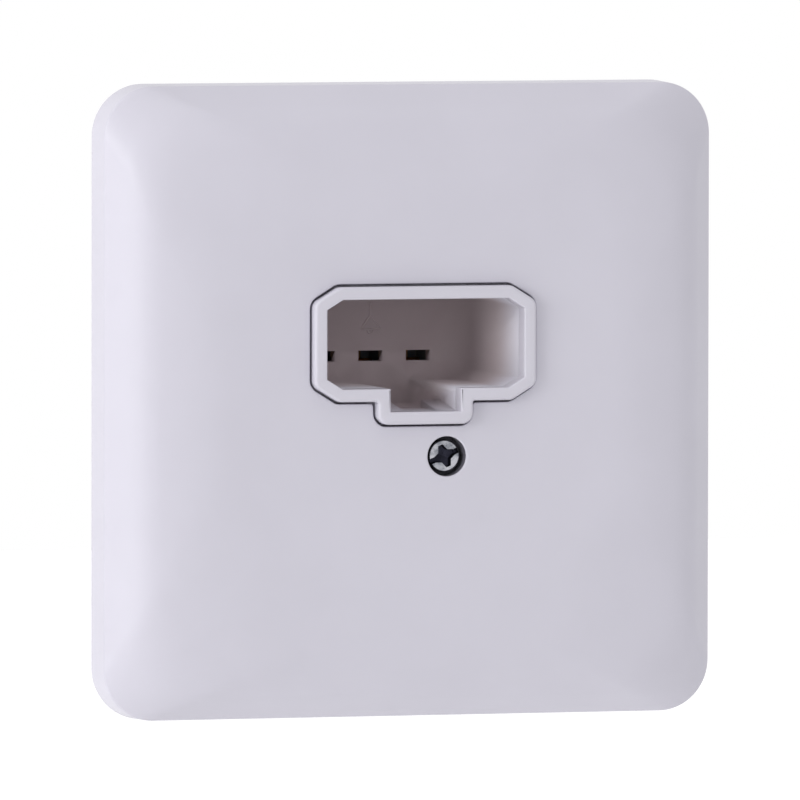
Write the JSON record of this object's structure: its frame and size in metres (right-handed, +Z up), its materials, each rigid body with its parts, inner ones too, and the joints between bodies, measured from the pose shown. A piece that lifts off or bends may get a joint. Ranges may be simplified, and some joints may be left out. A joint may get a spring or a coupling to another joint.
{
  "type": "luminaire outlet",
  "caption": "White square wall outlet for a luminaire plug: crowned cover with a keyed socket and one cover screw, on a steel yoke with a rear housing.",
  "frame": {"origin": "on the wall plane, behind the centre of the cover and midway between the wall-box screws", "axes": "+X to the right, +Z up, +Y into the wall; the room is towards -Y"},
  "size_m": [0.085, 0.036, 0.085],
  "materials": {
    "cover_plastic": "glossy moulded plastic, cool white",
    "socket_plastic": "satin moulded plastic, cool white",
    "housing_plastic": "matte moulded plastic, grey",
    "yoke_steel": "zinc-plated sheet steel",
    "contact_bronze": "rolled bronze strip",
    "terminal_brass": "machined brass",
    "screw_zinc": "bright zinc-plated steel"
  },
  "bodies": {
    "root": {"contact_earth": "contact_bronze", "contact_line": "contact_bronze", "contact_neutral": "contact_bronze", "cover_nut": "screw_zinc", "cover_screw": "screw_zinc", "earth_strap": "contact_bronze", "front_cover": "cover_plastic", "housing_screw_left": "screw_zinc", "housing_screw_right": "screw_zinc", "mounting_yoke": "yoke_steel", "rear_housing": "housing_plastic", "socket_body": "socket_plastic", "terminal_earth": "terminal_brass", "terminal_line": "terminal_brass", "terminal_neutral": "terminal_brass", "terminal_screw_earth_lower": "screw_zinc", "terminal_screw_earth_upper": "screw_zinc", "terminal_screw_line_lower": "screw_zinc", "terminal_screw_line_upper": "screw_zinc", "terminal_screw_neutral_lower": "screw_zinc", "terminal_screw_neutral_upper": "screw_zinc"}
  },
  "joints": []
}
